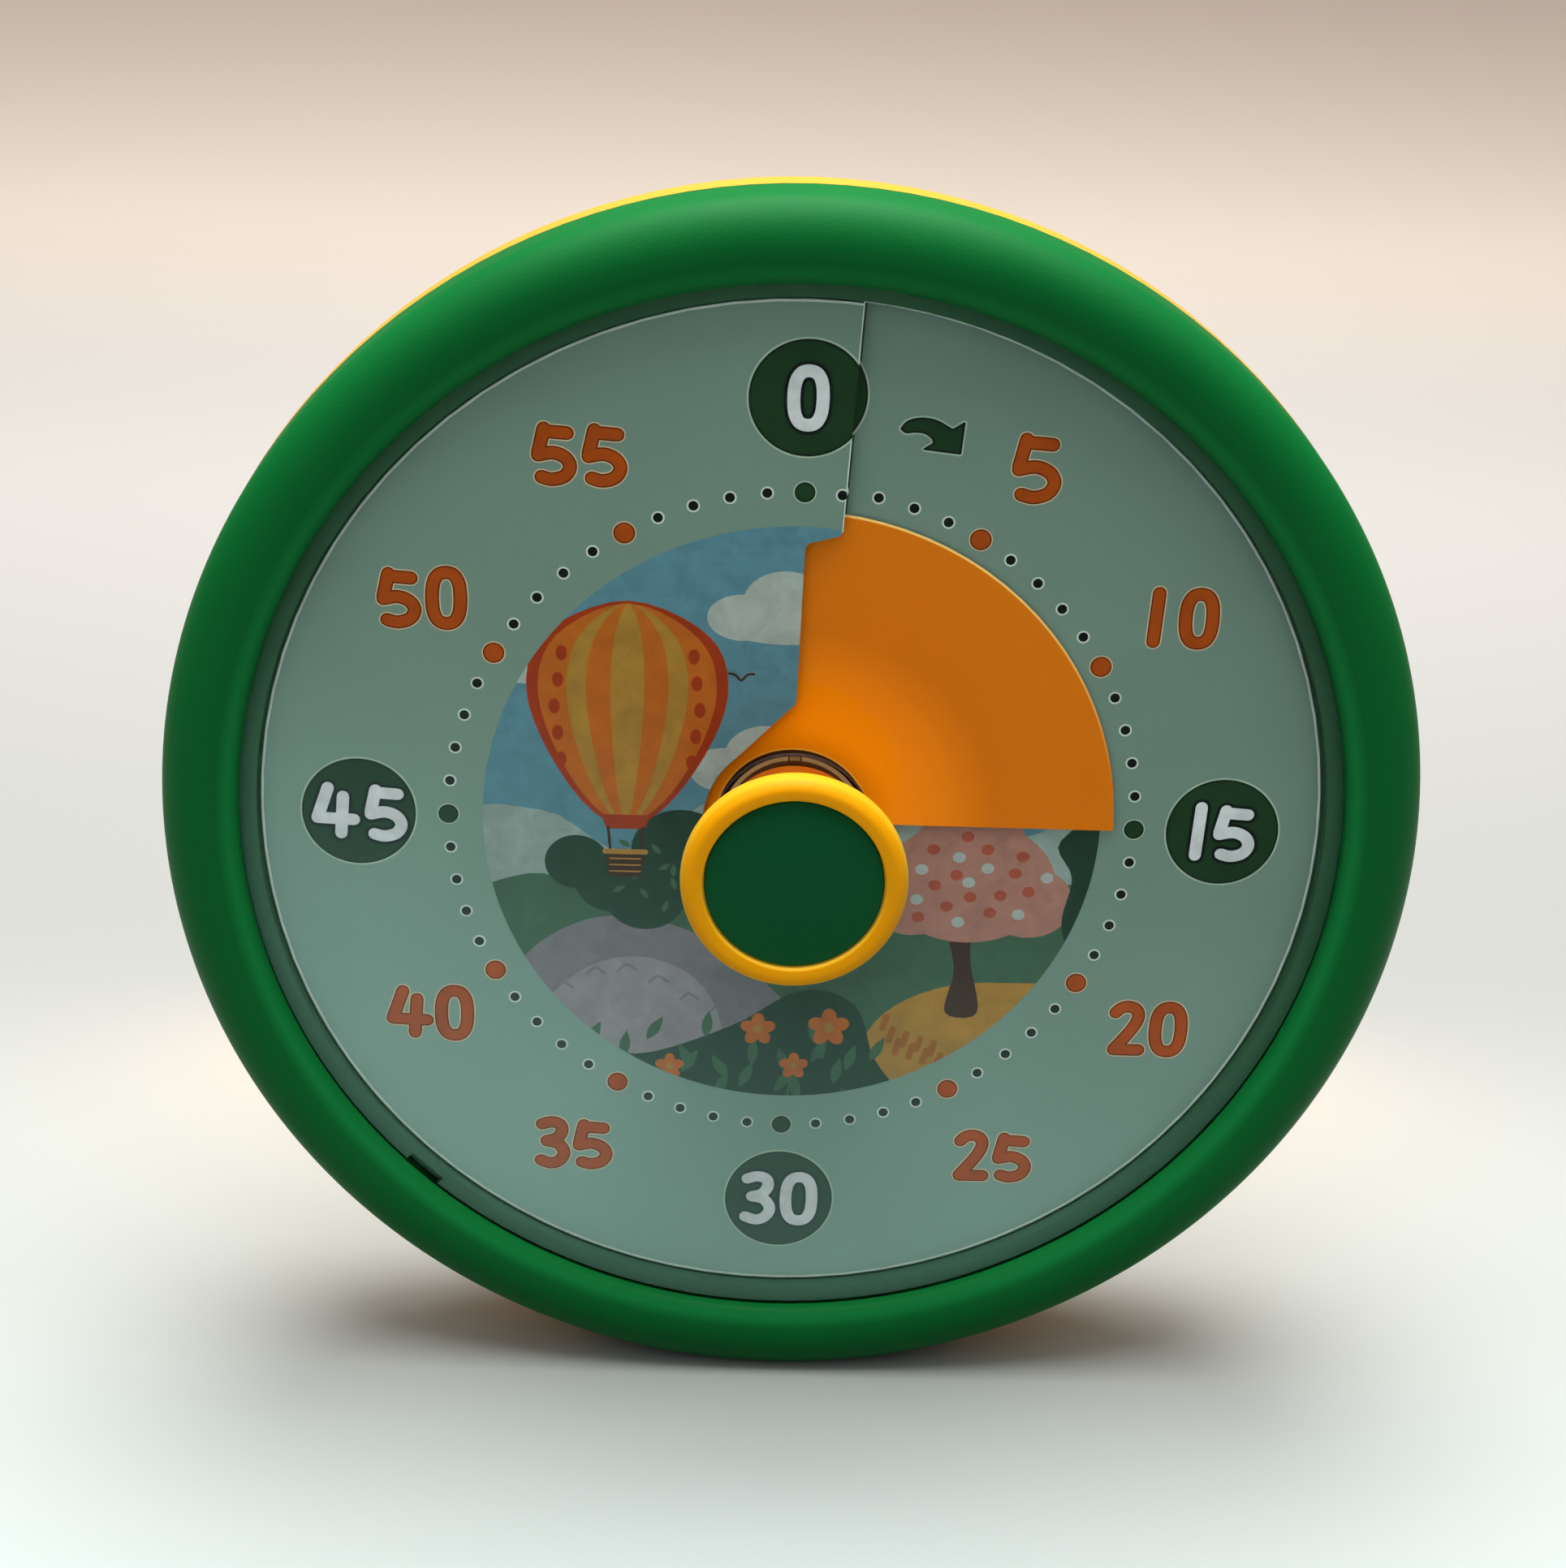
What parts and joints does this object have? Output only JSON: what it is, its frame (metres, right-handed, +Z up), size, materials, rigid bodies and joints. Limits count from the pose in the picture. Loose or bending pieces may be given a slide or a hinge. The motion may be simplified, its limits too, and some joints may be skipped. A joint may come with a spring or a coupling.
{
  "type": "visual countdown timer",
  "caption": "Round upright countdown timer: a front knob turns a coloured disc that sweeps out over a slit dial card; foot folds from the back.",
  "frame": {"origin": "middle of the bounding box in plan, on the surface that the timer stands on", "axes": "+Z up, +X to the right seen from the front, the dial faces -Y and the foot reaches towards +Y"},
  "size_m": [0.1804, 0.09, 0.1804],
  "materials": {
    "green_plastic": "satin",
    "dark_green_plastic": "satin",
    "clear_plastic": "clear, polished",
    "printed_card": "printed, matt",
    "orange_sheet": "matt",
    "dark_plastic": "matt",
    "yellow_plastic": "satin",
    "steel": "plain",
    "brass": "turned",
    "gear_plastic": "natural",
    "case_plastic": "matt",
    "board": "solder mask",
    "black_plastic": "matt",
    "cell_jacket": "printed jacket",
    "magnet": "plated",
    "rubber": "matt"
  },
  "bodies": {
    "case": {"bezel": "green_plastic", "lens": "clear_plastic", "dial_frame": "dark_green_plastic", "dial_card": "printed_card", "arbor_bush": "brass", "motor_can": "steel", "movement_plate": "case_plastic", "movement_cover": "case_plastic", "movement_screws": "steel", "bezel_screws": "steel", "circuit_board": "board", "board_screws": "steel", "buzzer": "black_plastic", "switch_body": "black_plastic", "battery_cell": "cell_jacket", "contact_positive": "steel", "contact_spring": "steel", "back_shell": "yellow_plastic", "case_screws": "steel", "magnets": "magnet", "foot_pins": "steel"},
    "rotor": {"knob": "yellow_plastic", "knob_cap": "green_plastic", "knob_screw": "steel", "arbor": "steel", "main_wheel": "gear_plastic", "clutch_spring": "steel"},
    "sweep": {"countdown_disc": "orange_sheet", "disc_collar": "dark_plastic"},
    "layshaft": {"second_wheel": "gear_plastic"},
    "motor_shaft": {"motor_pinion": "brass"},
    "switch": {"sound_switch": "black_plastic"},
    "door": {"battery_door": "yellow_plastic"},
    "stand": {"foot": "yellow_plastic", "foot_pads": "rubber"}
  },
  "joints": [
    {"name": "knob_turn", "type": "hinge", "parent": "case", "child": "rotor", "pos_m": [0, -0.02125, 0.0902], "axis": [0, 1, 0], "range_deg": [-90, 270]},
    {"name": "disc_float", "type": "slide", "parent": "rotor", "child": "sweep", "axis": [0, -1, 0], "range_m": [-0.00055, 0.00165]},
    {"name": "layshaft_turn", "type": "hinge", "parent": "case", "child": "layshaft", "pos_m": [-0.01273, -0.02125, 0.07747], "axis": [0, 1, 0], "range_deg": [-1351, 451]},
    {"name": "motor_turn", "type": "hinge", "parent": "case", "child": "motor_shaft", "pos_m": [0.00204, -0.02125, 0.07487], "axis": [0, 1, 0], "range_deg": [-1801, 5401]},
    {"name": "switch_slide", "type": "slide", "parent": "case", "child": "switch", "axis": [1, 0, 0], "range_m": [-0.003, 0]},
    {"name": "door_lift", "type": "slide", "parent": "case", "child": "door", "axis": [0, 1, 0], "range_m": [0, 0.03]},
    {"name": "foot_fold", "type": "hinge", "parent": "case", "child": "stand", "pos_m": [0, 0.00495, 0.0037], "axis": [1, 0, 0], "range_deg": [0, 90]}
  ],
  "couplings": [
    {"joint": "disc_float", "follows": "knob_turn", "m_per_rad": 0.00035014},
    {"joint": "layshaft_turn", "follows": "knob_turn", "ratio": -5},
    {"joint": "motor_turn", "follows": "knob_turn", "ratio": 20}
  ]
}
